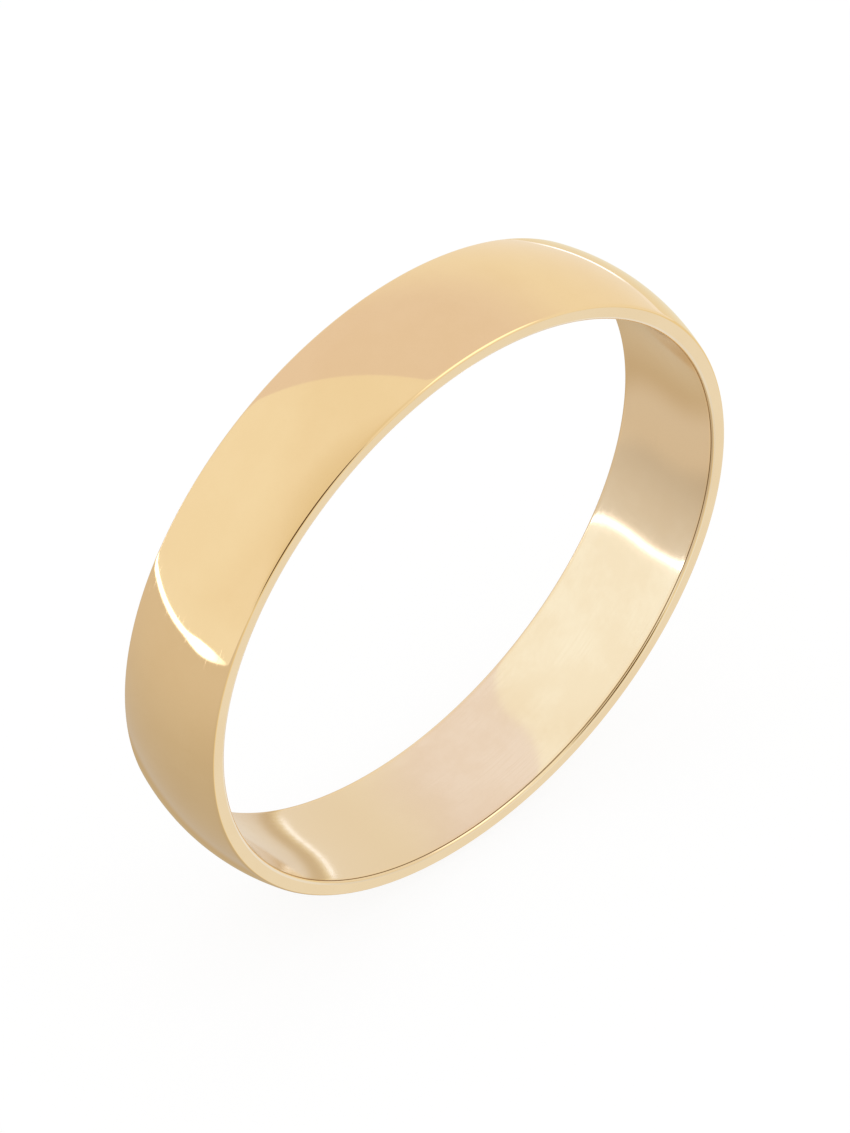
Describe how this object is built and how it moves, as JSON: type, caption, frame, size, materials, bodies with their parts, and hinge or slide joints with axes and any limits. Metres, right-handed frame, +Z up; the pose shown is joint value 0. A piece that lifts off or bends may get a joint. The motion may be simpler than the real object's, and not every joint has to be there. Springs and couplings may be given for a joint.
{
  "type": "wedding band",
  "caption": "Plain polished yellow-gold wedding band with an eased bore, narrow flat sides and a low domed outside; worn on a finger.",
  "frame": {"origin": "centre of the finger bore, half way along its width", "axes": "+Y along the bore axis, from the front side face to the back side face; +Z up, with the band standing on its rim; +X to the right"},
  "size_m": [0.0216, 0.004, 0.0216],
  "materials": {
    "yellow_gold": "polished outside, satin bore"
  },
  "bodies": {
    "root": {"band": "yellow_gold"}
  },
  "joints": []
}
